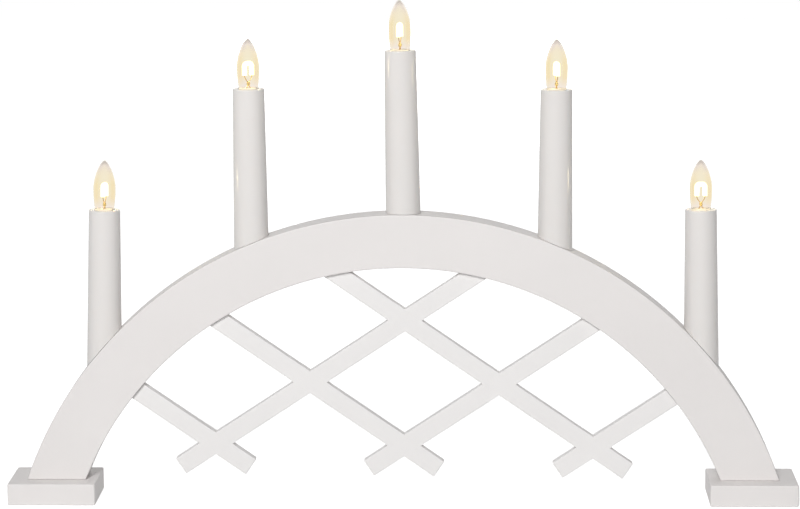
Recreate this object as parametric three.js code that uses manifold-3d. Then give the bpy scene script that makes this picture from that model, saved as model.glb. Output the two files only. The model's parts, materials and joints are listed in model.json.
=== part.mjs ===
// An electric candle bridge: a white wooden arch on two feet, a lattice of halved slats under the
// arch, and five plastic candles whose flame-shaped lamps screw into holders at their tops.
// Millimetres, +Z up, front towards -Y, origin on the table midway between the feet.
import * as THREE from "three";
import { mergeVertices } from "three/addons/utils/BufferGeometryUtils.js";
import Module from "manifold-3d";

const wasm = await Module();
wasm.setup();

// Fits
const FIT_GAP = 0.3; // between a piece and the seat that holds it
const LAP_GAP = 0.15; // between the two halves of a lap joint
const CUT_MARGIN = 2; // how far a cutter runs past the face it opens

// Arch board
const ARCH_OUTER_RADIUS = 263;
const ARCH_BAND = 35.3; // height of the board at its crown
const ARCH_INNER_RISE = 1.8; // the inner curve's centre lies above the outer's, so the legs are wider
const ARCH_THICKNESS = 23.5;
const ARCH_CENTRE_DROP = 71.4; // the arch's centre lies this far below the table
const ARCH_EDGE_ROUND = 1.0;
const ARCH_STEPS = 56;
const GROOVE_STEPS = 28;

// Feet and the screws that hold the arch on them
const FOOT_WIDTH = 58;
const FOOT_DEPTH = 50;
const FOOT_HEIGHT = 14.5;
const FOOT_CORNER_ROUND = 1.2;
const FOOT_EDGE_ROUND = 0.8;
const FOOT_OUTSET = 2; // the foot's middle lies this far outside the leg's middle
const SCREW_HEAD_DIAMETER = 8;
const SCREW_SHANK_DIAMETER = 4;
const SCREW_HEAD_HEIGHT = 2.4;
const SCREW_POINT_LENGTH = 5;
const SCREW_LENGTH = 30;
const SCREW_SINK = 0.8; // the head's face lies this far inside the foot's underside
const SCREW_SPACING = 16;
const SCREW_INSET = 3; // the pair's middle lies this far inside the leg's middle
const RECESS_LENGTH = 4.4;
const RECESS_WIDTH = 1;
const RECESS_DEPTH = 1.4;

// Lattice
const SLAT_WIDTH = 12.3;
const SLAT_THICKNESS = 8;
const SLAT_SETBACK = 3.6; // from the arch's front face to the fronts of the slats
const SLAT_ANGLE = 34; // degrees to the horizontal
const SLAT_TAIL = 28; // free end past the lowest crossing
const SLAT_TENON = 9; // let into the arch, along the slat
const LATTICE_DROP = 35.3; // from the arch's underside at the crown to the top crossing
const LATTICE_RISE = 22.5; // from the top of the feet to the lowest crossings
const LATTICE_TILT = 0.6; // degrees, right side down: the lattice is glued in slightly askew
const LATTICE_SHIFT = 1.7; // to the right of the arch's middle, for the same reason
const SLAT_RUNS = [-1, 0, 1]; // each run's lowest crossing, in pitches from the middle

// Candles, from left to right
const INNER_CANDLE_ANGLE = 22.2; // degrees round the arch from its crown
const OUTER_CANDLE_ANGLE = 48.3;
const CENTRE_CANDLE_LENGTH = 106.6; // along the candle's axis, arch to rim
const INNER_CANDLE_LENGTH = 100.9;
const OUTER_CANDLE_LENGTH = 90.6;
// stray is how far round the arch a candle stands from its even place, and lean how far its top leans
// to the right, both in degrees
const CANDLES = [
  { place: -OUTER_CANDLE_ANGLE, stray: -0.15, length: OUTER_CANDLE_LENGTH, lean: 1.1, lampTurn: 75 },
  { place: -INNER_CANDLE_ANGLE, stray: 0.14, length: INNER_CANDLE_LENGTH, lean: -0.4, lampTurn: 34 },
  { place: 0, stray: 0.23, length: CENTRE_CANDLE_LENGTH, lean: -0.85, lampTurn: 76 },
  { place: INNER_CANDLE_ANGLE, stray: 0.25, length: INNER_CANDLE_LENGTH, lean: 0.35, lampTurn: 104 },
  { place: OUTER_CANDLE_ANGLE, stray: 0.12, length: OUTER_CANDLE_LENGTH, lean: -0.7, lampTurn: 5 },
];
const TUBE_INSET = 0.3; // each side, inside the arch's thickness
const TUBE_TOP_DIAMETER = 20.7;
const TUBE_WALL = 1.6;
const TUBE_RIM_ROUND = 0.6;
const TUBE_FOOT_MARGIN = 5; // tube below the arch's surface before it is cut to the slope
const TUBE_SIDES = 32;
const MOUTH_DEPTH = 4; // from the rim down to the lamp holder's shoulder
const MOUTH_GAP = 0.6; // round the lamp's glass at the rim
const PEG_HEIGHT = 18; // inside the tube
const PEG_SPIGOT_DIAMETER = 12;
const PEG_SPIGOT_LENGTH = 14; // inside the arch
const PEG_BORE = 7.2;
const SMALL_SIDES = 16;

// Lamp holder with its threaded shell
const HOLDER_DIAMETER = 15.6;
const HOLDER_LENGTH = 18;
const HOLDER_CUP_DEPTH = 10.2;
const HOLDER_CONTACT_BORE = 4.8;
const HOLDER_CONTACT_DEPTH = 3;
const SEAT_OVERRUN = 1; // the tube's narrow seat runs this far below the holder
const SEAT_TAPER = 1.5;
const SHELL_WALL = 0.75;
const SHELL_LIP = 0.7; // the shell's top lies this far below the holder's

// Lamp: glass, screw cap and light-emitting filament
const CAP_DIAMETER = 9.5;
const CAP_WALL = 0.4;
const CAP_LENGTH = 8.6;
const CAP_THREAD_PITCH = 1.814;
const CAP_THREAD_DEPTH = 0.3;
const CAP_THREAD_TURNS = 4;
const CAP_CONTACT_DIAMETER = 3.4;
const CAP_CONTACT_LENGTH = 1.2;
const CAP_FLOOR = 1.4;
const GLASS_DIAMETER = 15;
const GLASS_RIM_DIAMETER = 13.2; // where the glass leaves the candle
const GLASS_HEIGHT = 32.8; // above the candle's rim
const GLASS_BELLY_HEIGHT = 13.8;
const GLASS_TIP_SHARE = 0.42; // of the belly's width, where the flank turns in to the tip
const GLASS_TIP_DROP = 0.8; // from the tip down to that turn
const GLASS_WALL = 0.7;
const GLASS_NECK_LENGTH = 5; // inside the cap
const GLASS_SIDES = 18;
const GLASS_CURVE_STEPS = 5;
const STEM_DIAMETER = 3.2;
const STEM_FLARE_LENGTH = 1;
const STEM_TOP = 4.2; // above the candle's rim
const LEAD_DIAMETER = 0.9;
const FILAMENT_DIAMETER = 3.2;
const FILAMENT_SPREAD = 5.6;
const FILAMENT_BOTTOM = 9; // above the candle's rim
const FILAMENT_TOP = 18.4;
const FILAMENT_SIDES = 6;
const FILAMENT_BEND_STEPS = 6;

// Wiring in the groove along the arch's back
const GROOVE_WIDTH = 9;
const GROOVE_DEPTH = 7;
const GLAND_RISE = 10; // from the top of the foot to the groove's lower end
const POCKET_HALF_LENGTH = 10; // deeper pocket behind each candle
const POCKET_FLOOR = 3.6; // in front of the candle's axis
const POCKET_STEP = 0.5; // the pocket's sides stand this far inside the groove's
const WIRE_DIAMETER = 2;
const WIRE_SPREAD = 4.4; // between the two wires side by side in the groove
const WIRE_PAIR_SPREAD = 3.8; // between the two wires inside a candle
const WIRE_BEND = 4.6; // reach of the bend from a candle into the groove
const WIRE_SIDES = 6;
const WIRE_ARC_STEP = 9; // degrees between the points of a wire that follows the groove
const CLIP_LENGTH = 7;
const CLIP_THICKNESS = 1.5;
const GLAND_LENGTH = 14;
const GLAND_COLLAR_DIAMETER = 11;
const GLAND_COLLAR_HEIGHT = 3; // behind the arch's back face
const GLAND_BORE = 6.8;

// Worked out from the sizes above
const ARCH_INNER_RADIUS = ARCH_OUTER_RADIUS - ARCH_BAND - ARCH_INNER_RISE;
const ARCH_INNER_DROP = ARCH_CENTRE_DROP - ARCH_INNER_RISE;
const ARCH_BACK = ARCH_THICKNESS / 2;
const GROOVE_RADIUS = ARCH_OUTER_RADIUS - ARCH_BAND / 2;
const GROOVE_FLOOR = ARCH_BACK - GROOVE_DEPTH;
const TUBE_BASE_DIAMETER = ARCH_THICKNESS - 2 * TUBE_INSET;
const WIRE_LEVEL = GROOVE_FLOOR + FIT_GAP + WIRE_DIAMETER / 2;
const HOLDER_TOP = -MOUTH_DEPTH - FIT_GAP; // this and the next levels are from the candle's rim
const HOLDER_BOTTOM = HOLDER_TOP - HOLDER_LENGTH;
const CAP_TOP = -MOUTH_DEPTH;
const CAP_BOTTOM = CAP_TOP - CAP_LENGTH;
const SHELL_INNER_RADIUS = CAP_DIAMETER / 2 + FIT_GAP;
const SHELL_OUTER_RADIUS = SHELL_INNER_RADIUS + SHELL_WALL;
const GLASS_NECK_RADIUS = CAP_DIAMETER / 2 - CAP_WALL - FIT_GAP;

const radians = THREE.MathUtils.degToRad;
const degrees = THREE.MathUtils.radToDeg;

const finishes = {
  paintedWood: { color: 0xe9e7e4, roughness: 0.55, metalness: 0 },
  candlePlastic: { color: 0xf0ede8, roughness: 0.25, metalness: 0 },
  holderPlastic: { color: 0xe8e2d4, roughness: 0.5, metalness: 0 },
  brass: { color: 0xc8a456, roughness: 0.35, metalness: 1 },
  steel: { color: 0xb9bbbd, roughness: 0.35, metalness: 1 },
  glass: { color: 0xfff0cf, roughness: 0.05, metalness: 0, transparent: true, opacity: 0.4 },
  filament: { color: 0xffdf9a, roughness: 0.5, metalness: 0, emissive: 0xffd27a },
  wire: { color: 0xf2f1ee, roughness: 0.45, metalness: 0 },
};

// Turns a closed geometry into a solid, without the slivers that collapse on a turning axis.
function solidOf(geometry) {
  const bare = geometry.index ? geometry.toNonIndexed() : geometry.clone();
  bare.deleteAttribute("normal");
  bare.deleteAttribute("uv");
  const merged = mergeVertices(bare, 1e-4);
  const corners = merged.index.array;
  const kept = [];
  for (let i = 0; i < corners.length; i += 3) {
    const [a, b, c] = corners.slice(i, i + 3);
    if (a !== b && b !== c && c !== a) kept.push(a, b, c);
  }
  const vertProperties = merged.attributes.position.array;
  return new wasm.Manifold(new wasm.Mesh({ numProp: 3, vertProperties, triVerts: new Uint32Array(kept) }));
}

function geometryOf(solid) {
  const { vertProperties, triVerts } = solid.getMesh();
  const geometry = new THREE.BufferGeometry();
  geometry.setAttribute("position", new THREE.BufferAttribute(new Float32Array(vertProperties), 3));
  geometry.setIndex(new THREE.BufferAttribute(new Uint32Array(triVerts), 1));
  geometry.computeVertexNormals();
  return geometry;
}

function meshOf(name, solid, finish) {
  const mesh = new THREE.Mesh(geometryOf(solid), new THREE.MeshStandardMaterial(finishes[finish]));
  mesh.name = name;
  return mesh;
}

// Turns a profile of [radius, height] pairs about +Z. It runs outwards below, up outside, in on top.
function turned(profile, sides = SMALL_SIDES, matrix = null) {
  const points = profile.map(([radius, height]) => new THREE.Vector2(Math.max(radius, 0), height));
  const geometry = new THREE.LatheGeometry(points, sides).rotateX(Math.PI / 2);
  if (matrix) geometry.applyMatrix4(matrix);
  return solidOf(geometry);
}

function rod(radius, bottom, top, sides = SMALL_SIDES, matrix = null) {
  return turned([[0, bottom], [radius, bottom], [radius, top], [0, top]], sides, matrix);
}

// A box given by its low and high corners.
function block(low, high, matrix = null) {
  const size = high.map((value, i) => value - low[i]);
  const middle = high.map((value, i) => (value + low[i]) / 2);
  const geometry = new THREE.BoxGeometry(...size).translate(...middle);
  if (matrix) geometry.applyMatrix4(matrix);
  return solidOf(geometry);
}

// A point on a circle round the arch's centre, with the angle in degrees from the crown.
function onArch(radius, angle, y = 0) {
  const turn = radians(angle);
  return new THREE.Vector3(radius * Math.sin(turn), y, radius * Math.cos(turn) - ARCH_CENTRE_DROP);
}

// The groove's inner and outer radius, with its sides drawn in by a distance.
function grooveBand(inset) {
  const half = GROOVE_WIDTH / 2 - inset;
  return { inner: GROOVE_RADIUS - half, outer: GROOVE_RADIUS + half, rise: 0 };
}

// A stretch of a ring round the arch's centre, between two angles from the crown and two depths. The
// band's own rise lifts the centre of its inner side.
function ringStretch(band, angles, [front, back], steps, edgeRound = 0) {
  const [start, end] = angles.map((angle) => radians(90 - angle));
  const shape = new THREE.Shape();
  shape.absarc(0, -ARCH_CENTRE_DROP, band.outer, start, end, true);
  shape.absarc(0, band.rise - ARCH_CENTRE_DROP, band.inner, end, start, false);
  const geometry = new THREE.ExtrudeGeometry(shape, {
    depth: back - front - 2 * edgeRound,
    curveSegments: steps,
    bevelEnabled: edgeRound > 0,
    bevelThickness: edgeRound,
    bevelSize: edgeRound,
    bevelOffset: -edgeRound,
    bevelSegments: 2,
  });
  geometry.rotateX(Math.PI / 2).translate(0, back - edgeRound, 0);
  return solidOf(geometry);
}

// A round cutter along Y that follows the arch's outer face.
function archCylinder(radius, matrix) {
  const geometry = new THREE.CylinderGeometry(radius, radius, 4 * ARCH_THICKNESS, 3 * ARCH_STEPS);
  geometry.translate(0, 0, -ARCH_CENTRE_DROP).applyMatrix4(matrix);
  return solidOf(geometry);
}

// Where a line from a point along a direction leaves a circle round a centre, all in the XZ plane.
function distanceToCircle(point, direction, centre, radius) {
  const offset = point.clone().sub(centre).setY(0);
  const along = offset.dot(direction);
  return -along + Math.sqrt(along * along - offset.lengthSq() + radius * radius);
}

const bridge = new THREE.Group();

// Candle frames: origin on the arch's outer face, +Z up the candle

const candles = CANDLES.map((candle, index) => {
  const group = new THREE.Group();
  const angle = candle.place + candle.stray;
  group.position.copy(onArch(ARCH_OUTER_RADIUS, angle));
  group.rotation.y = radians(candle.lean);
  group.updateMatrix();
  const axis = new THREE.Vector3(0, 0, 1).transformDirection(group.matrix);
  const centre = new THREE.Vector3(0, 0, -ARCH_CENTRE_DROP);
  const down = axis.clone().negate();
  const toFarSide = distanceToCircle(group.position, down, centre, GROOVE_RADIUS);
  const chord = 2 * Math.abs(group.position.clone().sub(centre).dot(axis));
  const grooveDepth = chord - toFarSide; // along the axis, from the outer face to the groove's middle
  const grooveMiddle = group.position.clone().addScaledVector(axis, -grooveDepth);
  const grooveAngle = degrees(Math.atan2(grooveMiddle.x, grooveMiddle.z + ARCH_CENTRE_DROP));
  const slope = radians(Math.abs(angle) + Math.abs(candle.lean));
  const footReach = (TUBE_BASE_DIAMETER / 2) * Math.tan(slope) + TUBE_FOOT_MARGIN;
  return { ...candle, number: index + 1, group, grooveDepth, grooveAngle, footReach };
});

// Lattice frame: origin midway between the lowest and the top crossings

const lowCrossing = FOOT_HEIGHT + LATTICE_RISE;
const topCrossing = ARCH_INNER_RADIUS - ARCH_INNER_DROP - LATTICE_DROP;
const latticeDepth = SLAT_SETBACK + SLAT_THICKNESS / 2 - ARCH_BACK;
const lattice = new THREE.Group();
lattice.position.set(LATTICE_SHIFT, latticeDepth, (lowCrossing + topCrossing) / 2);
lattice.rotation.y = radians(LATTICE_TILT);
lattice.updateMatrix();
const rowHeight = (topCrossing - lowCrossing) / 2;
const pitch = (2 * rowHeight) / Math.tan(radians(SLAT_ANGLE));
const toLattice = lattice.matrix.clone().invert();
const innerCentre = new THREE.Vector3(0, 0, -ARCH_INNER_DROP).applyMatrix4(toLattice);

// side is -1 for a slat that climbs to the left and 1 for one that climbs to the right
function layOutSlat(side, run) {
  const start = new THREE.Vector3(run * pitch, 0, -rowHeight);
  const angle = radians(SLAT_ANGLE);
  const climb = new THREE.Vector3(side * Math.cos(angle), 0, Math.sin(angle));
  const top = distanceToCircle(start, climb, innerCentre, ARCH_INNER_RADIUS) + SLAT_TENON;
  const across = new THREE.Vector3(0, side, 0);
  const place = new THREE.Matrix4().makeBasis(climb, across, climb.clone().cross(across));
  place.setPosition(start);
  return { side, run, top, place };
}

const slats = [-1, 1].flatMap((side) => SLAT_RUNS.map((run) => layOutSlat(side, run)));

// The slat's own space, grown by a gap, between two depths of the lattice
function slatSpace(slat, gap, front, back) {
  const [low, high] = slat.side > 0 ? [front, back] : [-back, -front];
  const half = SLAT_WIDTH / 2 + gap;
  return block([-SLAT_TAIL, low, -half], [slat.top + gap, high, half], slat.place);
}

function slatsCross(a, b) {
  const [left, right] = a.side < 0 ? [a, b] : [b, a];
  return a.side !== b.side && left.run >= right.run;
}

function makeSlat(slat) {
  const half = SLAT_THICKNESS / 2;
  const backNotch = [-LAP_GAP / 2, half + CUT_MARGIN];
  const frontNotch = [-half - CUT_MARGIN, LAP_GAP / 2];
  const [front, back] = slat.side < 0 ? backNotch : frontNotch;
  let solid = slatSpace(slat, 0, -half, half);
  for (const other of slats.filter((candidate) => slatsCross(slat, candidate))) {
    solid = solid.subtract(slatSpace(other, LAP_GAP, front, back));
  }
  const name = "slat_" + (slat.side < 0 ? "falling_" : "rising_") + (slat.run + 2);
  return meshOf(name, solid, "paintedWood");
}

slats.forEach((slat) => lattice.add(makeSlat(slat)));

// Arch board

const legHeight = FOOT_HEIGHT + ARCH_CENTRE_DROP;
const innerLegHeight = FOOT_HEIGHT + ARCH_INNER_DROP;
const grooveStart = -degrees(Math.acos((legHeight + GLAND_RISE) / GROOVE_RADIUS));
const legOutside = Math.sqrt(ARCH_OUTER_RADIUS ** 2 - legHeight ** 2);
const legInside = Math.sqrt(ARCH_INNER_RADIUS ** 2 - innerLegHeight ** 2);
const legMiddle = (legOutside + legInside) / 2;
const footMiddle = legMiddle + FOOT_OUTSET;
const screwPlaces = [-1, 1].flatMap((side) =>
  [-1, 1].map((place) => side * (legMiddle - SCREW_INSET) + (place * SCREW_SPACING) / 2),
);

function screwSpace(gap) {
  const head = SCREW_HEAD_DIAMETER / 2 + gap;
  const shank = SCREW_SHANK_DIAMETER / 2 + gap;
  const neck = SCREW_SINK + SCREW_HEAD_HEIGHT;
  const point = SCREW_SINK + SCREW_LENGTH + gap;
  return { head, shank, neck, point };
}

function makeArch() {
  const endAngle = degrees(Math.acos(ARCH_CENTRE_DROP / ARCH_OUTER_RADIUS));
  const pocketAngle = degrees(POCKET_HALF_LENGTH / GROOVE_RADIUS);
  const lastAngle = candles.at(-1).grooveAngle + pocketAngle;
  const board = { inner: ARCH_INNER_RADIUS, outer: ARCH_OUTER_RADIUS, rise: ARCH_INNER_RISE };
  let solid = ringStretch(board, [-endAngle, endAngle], [-ARCH_BACK, ARCH_BACK], ARCH_STEPS, ARCH_EDGE_ROUND);
  const cut = (cutter) => {
    solid = solid.subtract(cutter);
  };
  const reach = 2 * ARCH_OUTER_RADIUS;
  cut(block([-reach, -reach, -reach], [reach, reach, FOOT_HEIGHT]));
  const grooveSpan = [grooveStart, lastAngle];
  cut(ringStretch(grooveBand(0), grooveSpan, [GROOVE_FLOOR, ARCH_BACK + CUT_MARGIN], GROOVE_STEPS));
  for (const { group, grooveAngle, grooveDepth } of candles) {
    const span = [grooveAngle - pocketAngle, grooveAngle + pocketAngle];
    cut(ringStretch(grooveBand(POCKET_STEP), span, [-POCKET_FLOOR, ARCH_BACK], 2));
    const spigotRadius = PEG_SPIGOT_DIAMETER / 2 + FIT_GAP;
    const outside = PEG_HEIGHT + TUBE_BASE_DIAMETER;
    cut(rod(spigotRadius, -PEG_SPIGOT_LENGTH - FIT_GAP, outside, SMALL_SIDES, group.matrix));
    cut(rod(PEG_BORE / 2, -grooveDepth, outside, SMALL_SIDES, group.matrix));
  }
  const half = SLAT_THICKNESS / 2 + FIT_GAP;
  for (const slat of slats) {
    const mortise = slatSpace(slat, FIT_GAP, -half, half);
    cut(mortise.transform(lattice.matrix.elements));
  }
  const { shank, point } = screwSpace(FIT_GAP);
  for (const x of screwPlaces) {
    cut(rod(shank, 0, point, SMALL_SIDES, new THREE.Matrix4().makeTranslation(x, 0, 0)));
  }
  return meshOf("arch_board", solid, "paintedWood");
}

bridge.add(makeArch(), lattice);

// Feet and foot screws

function makeFoot(name, side) {
  const [halfWidth, halfDepth, corner] = [FOOT_WIDTH / 2, FOOT_DEPTH / 2, FOOT_CORNER_ROUND];
  const outline = new THREE.Shape();
  outline.absarc(halfWidth - corner, halfDepth - corner, corner, 0, Math.PI / 2);
  outline.absarc(corner - halfWidth, halfDepth - corner, corner, Math.PI / 2, Math.PI);
  outline.absarc(corner - halfWidth, corner - halfDepth, corner, Math.PI, 1.5 * Math.PI);
  outline.absarc(halfWidth - corner, corner - halfDepth, corner, 1.5 * Math.PI, 2 * Math.PI);
  const geometry = new THREE.ExtrudeGeometry(outline, {
    depth: FOOT_HEIGHT - 2 * FOOT_EDGE_ROUND,
    curveSegments: 2,
    bevelThickness: FOOT_EDGE_ROUND,
    bevelSize: FOOT_EDGE_ROUND,
    bevelOffset: -FOOT_EDGE_ROUND,
    bevelSegments: 2,
  });
  geometry.translate(side * footMiddle, 0, FOOT_EDGE_ROUND);
  let solid = solidOf(geometry);
  const { head, shank, neck } = screwSpace(FIT_GAP);
  const hole = [[0, -CUT_MARGIN], [head, -CUT_MARGIN], [head, SCREW_SINK], [shank, neck]];
  hole.push([shank, FOOT_HEIGHT + CUT_MARGIN], [0, FOOT_HEIGHT + CUT_MARGIN]);
  for (const x of screwPlaces.filter((place) => place * side > 0)) {
    solid = solid.subtract(turned(hole, SMALL_SIDES, new THREE.Matrix4().makeTranslation(x, 0, 0)));
  }
  return meshOf(name, solid, "paintedWood");
}

function makeScrew(x, index) {
  const { head, shank, neck, point } = screwSpace(0);
  const profile = [[0, SCREW_SINK], [head, SCREW_SINK], [shank, neck]];
  profile.push([shank, point - SCREW_POINT_LENGTH], [0, point]);
  let solid = turned(profile);
  const [length, width] = [RECESS_LENGTH / 2, RECESS_WIDTH / 2];
  const [low, high] = [SCREW_SINK - CUT_MARGIN, SCREW_SINK + RECESS_DEPTH];
  solid = solid.subtract(block([-length, -width, low], [length, width, high]));
  solid = solid.subtract(block([-width, -length, low], [width, length, high]));
  const mesh = meshOf("foot_screw_" + (index + 1), solid, "steel");
  mesh.position.x = x;
  return mesh;
}

bridge.add(makeFoot("foot_left", -1), makeFoot("foot_right", 1));
screwPlaces.forEach((x, index) => bridge.add(makeScrew(x, index)));

// Candle tubes and the pegs that carry them

function tubeRadius(candle, height) {
  const share = height / candle.length;
  return THREE.MathUtils.lerp(TUBE_BASE_DIAMETER, TUBE_TOP_DIAMETER, share) / 2;
}

function makeTube(candle) {
  const { length, number, group, footReach } = candle;
  const outer = (height) => tubeRadius(candle, height);
  const inner = (height) => outer(height) - TUBE_WALL;
  const mouth = GLASS_RIM_DIAMETER / 2 + MOUTH_GAP;
  const seat = HOLDER_DIAMETER / 2 + FIT_GAP;
  const seatBottom = length + HOLDER_BOTTOM - SEAT_OVERRUN;
  const wideTop = seatBottom - SEAT_TAPER;
  const rim = outer(length);
  const profile = [
    [inner(-footReach), -footReach],
    [outer(-footReach), -footReach],
    [rim, length - TUBE_RIM_ROUND],
    [rim - TUBE_RIM_ROUND * (1 - Math.SQRT1_2), length - TUBE_RIM_ROUND * (1 - Math.SQRT1_2)],
    [rim - TUBE_RIM_ROUND, length],
    [mouth, length],
    [mouth, length - MOUTH_DEPTH],
    [seat, length - MOUTH_DEPTH],
    [seat, seatBottom],
    [inner(wideTop), wideTop],
    [inner(-footReach), -footReach],
  ];
  const toCandle = group.matrix.clone().invert();
  const solid = turned(profile, TUBE_SIDES).subtract(archCylinder(ARCH_OUTER_RADIUS + FIT_GAP, toCandle));
  return meshOf("candle_tube_" + number, solid, "candlePlastic");
}

function makePeg(candle) {
  const { number, group, footReach } = candle;
  const radius = (height) => tubeRadius(candle, height) - TUBE_WALL - FIT_GAP;
  const plug = turned([
    [0, -footReach],
    [radius(-footReach), -footReach],
    [radius(PEG_HEIGHT), PEG_HEIGHT],
    [0, PEG_HEIGHT],
  ]);
  const toCandle = group.matrix.clone().invert();
  const seated = plug.subtract(archCylinder(ARCH_OUTER_RADIUS + FIT_GAP, toCandle));
  const spigot = rod(PEG_SPIGOT_DIAMETER / 2, -PEG_SPIGOT_LENGTH, PEG_HEIGHT);
  const bore = rod(PEG_BORE / 2, -PEG_SPIGOT_LENGTH - CUT_MARGIN, PEG_HEIGHT + CUT_MARGIN);
  return meshOf("candle_peg_" + number, seated.add(spigot).subtract(bore), "holderPlastic");
}

// Lamp holder and shell, with heights from the candle's rim

function makeHolder(number) {
  const radius = HOLDER_DIAMETER / 2;
  const cup = SHELL_OUTER_RADIUS + FIT_GAP;
  const floor = HOLDER_TOP - HOLDER_CUP_DEPTH;
  const contact = HOLDER_CONTACT_BORE / 2;
  const profile = [
    [0, HOLDER_BOTTOM],
    [radius, HOLDER_BOTTOM],
    [radius, HOLDER_TOP],
    [cup, HOLDER_TOP],
    [cup, floor],
    [contact, floor],
    [contact, floor - HOLDER_CONTACT_DEPTH],
    [0, floor - HOLDER_CONTACT_DEPTH],
  ];
  return meshOf("lamp_holder_" + number, turned(profile), "holderPlastic");
}

function makeShell(number) {
  const [inner, outer] = [SHELL_INNER_RADIUS, SHELL_OUTER_RADIUS];
  const bottom = HOLDER_TOP - HOLDER_CUP_DEPTH + FIT_GAP;
  const top = HOLDER_TOP - SHELL_LIP;
  const profile = [[inner, bottom], [outer, bottom], [outer, top], [inner, top], [inner, bottom]];
  return meshOf("socket_shell_" + number, turned(profile), "brass");
}

// Lamp, with heights from the candle's rim

function makeCap(number) {
  const crest = CAP_DIAMETER / 2;
  const root = crest - CAP_THREAD_DEPTH;
  const inside = crest - CAP_WALL;
  const contact = CAP_CONTACT_DIAMETER / 2;
  const profile = [
    [0, CAP_BOTTOM - CAP_CONTACT_LENGTH],
    [contact, CAP_BOTTOM - CAP_CONTACT_LENGTH],
    [contact, CAP_BOTTOM - CAP_CONTACT_LENGTH / 2],
    [root - 1, CAP_BOTTOM],
  ];
  for (let turn = 0; turn < CAP_THREAD_TURNS; turn++) {
    const start = CAP_BOTTOM + (turn + 0.5) * CAP_THREAD_PITCH;
    profile.push([root, start], [crest, start + CAP_THREAD_PITCH / 2]);
  }
  const floor = CAP_BOTTOM + CAP_FLOOR;
  profile.push([crest, CAP_TOP], [inside, CAP_TOP], [inside, floor], [0, floor]);
  return meshOf("lamp_cap_" + number, turned(profile), "brass");
}

// The glass's outline from its neck to its tip, drawn in by a distance all round
function glassOutline(inset) {
  const neck = GLASS_NECK_RADIUS - inset;
  const rim = GLASS_RIM_DIAMETER / 2 - inset;
  const belly = GLASS_DIAMETER / 2 - inset;
  const bellyHeight = GLASS_BELLY_HEIGHT;
  const tip = GLASS_HEIGHT - 2 * inset;
  const outline = new THREE.Path();
  outline.moveTo(neck, CAP_TOP - GLASS_NECK_LENGTH);
  outline.lineTo(neck, CAP_TOP + FIT_GAP);
  outline.quadraticCurveTo(rim, CAP_TOP / 2, rim, 0);
  outline.bezierCurveTo(rim + 0.4, bellyHeight / 3, belly, bellyHeight / 2, belly, bellyHeight);
  const shoulder = THREE.MathUtils.lerp(bellyHeight, tip, 0.45);
  outline.bezierCurveTo(belly, shoulder, belly * GLASS_TIP_SHARE, tip - GLASS_TIP_DROP, 0, tip);
  return outline.getPoints(GLASS_CURVE_STEPS).map((point) => [point.x, point.y]);
}

function makeGlass(number) {
  const outside = glassOutline(0);
  const inside = glassOutline(GLASS_WALL).reverse();
  return meshOf("lamp_glass_" + number, turned([...outside, ...inside, outside[0]], GLASS_SIDES), "glass");
}

function polygonSection(radius, sides) {
  const middle = new THREE.Vector2();
  const corner = (i) => new THREE.Vector2(radius, 0).rotateAround(middle, (2 * Math.PI * i) / sides);
  return new THREE.Shape(Array.from({ length: sides }, (_, i) => corner(i)));
}

// A route whose rings follow its own points, which are close at bends and far apart on straights.
class Route extends THREE.CatmullRomCurve3 {
  getPointAt(share) {
    return this.getPoint(share);
  }
  getTangentAt(share) {
    return this.getTangent(share);
  }
}

function tube(extrudePath, radius, sides, steps) {
  return solidOf(new THREE.ExtrudeGeometry(polygonSection(radius, sides), { extrudePath, steps }));
}

// The filament is bent over at its top and stands on two leads in a flared stem.
function makeFilament(number, lampTurn) {
  const half = FILAMENT_SPREAD / 2;
  const springing = FILAMENT_TOP - (FILAMENT_SPREAD + FILAMENT_DIAMETER) / 2;
  const points = [new THREE.Vector3(-half, 0, FILAMENT_BOTTOM)];
  for (let i = 0; i <= FILAMENT_BEND_STEPS; i++) {
    const turn = Math.PI * (1 - i / FILAMENT_BEND_STEPS);
    points.push(new THREE.Vector3(half * Math.cos(turn), 0, springing + half * Math.sin(turn)));
  }
  points.push(new THREE.Vector3(half, 0, FILAMENT_BOTTOM));
  let solid = tube(new Route(points), FILAMENT_DIAMETER / 2, FILAMENT_SIDES, points.length - 1);
  const flare = GLASS_NECK_RADIUS - GLASS_WALL - FIT_GAP;
  const foot = CAP_TOP - GLASS_NECK_LENGTH + FIT_GAP;
  const stem = STEM_DIAMETER / 2;
  const stemProfile = [[0, foot], [flare, foot], [flare, foot + STEM_FLARE_LENGTH]];
  stemProfile.push([stem, foot + 2 * STEM_FLARE_LENGTH], [stem, STEM_TOP], [0, STEM_TOP]);
  solid = solid.add(turned(stemProfile, FILAMENT_SIDES));
  for (const side of [-1, 1]) {
    const bottom = new THREE.Vector3((side * stem) / 2, 0, STEM_TOP - LEAD_DIAMETER);
    const top = new THREE.Vector3(side * half, 0, FILAMENT_BOTTOM + LEAD_DIAMETER);
    solid = solid.add(tube(new THREE.LineCurve3(bottom, top), LEAD_DIAMETER / 2, FILAMENT_SIDES, 1));
  }
  const mesh = meshOf("lamp_filament_" + number, solid, "filament");
  mesh.rotation.z = radians(lampTurn);
  return mesh;
}

for (const candle of candles) {
  const { group, number, length, lampTurn } = candle;
  const top = new THREE.Group();
  top.position.z = length;
  top.add(makeHolder(number), makeShell(number));
  top.add(makeCap(number), makeGlass(number), makeFilament(number, lampTurn));
  group.add(makeTube(candle), makePeg(candle), top);
  bridge.add(group);
}

// Wiring: the lamps are in series, so a wire links each candle to the next, one comes in from the
// gland to the first candle and one goes back to it from the last

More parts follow.
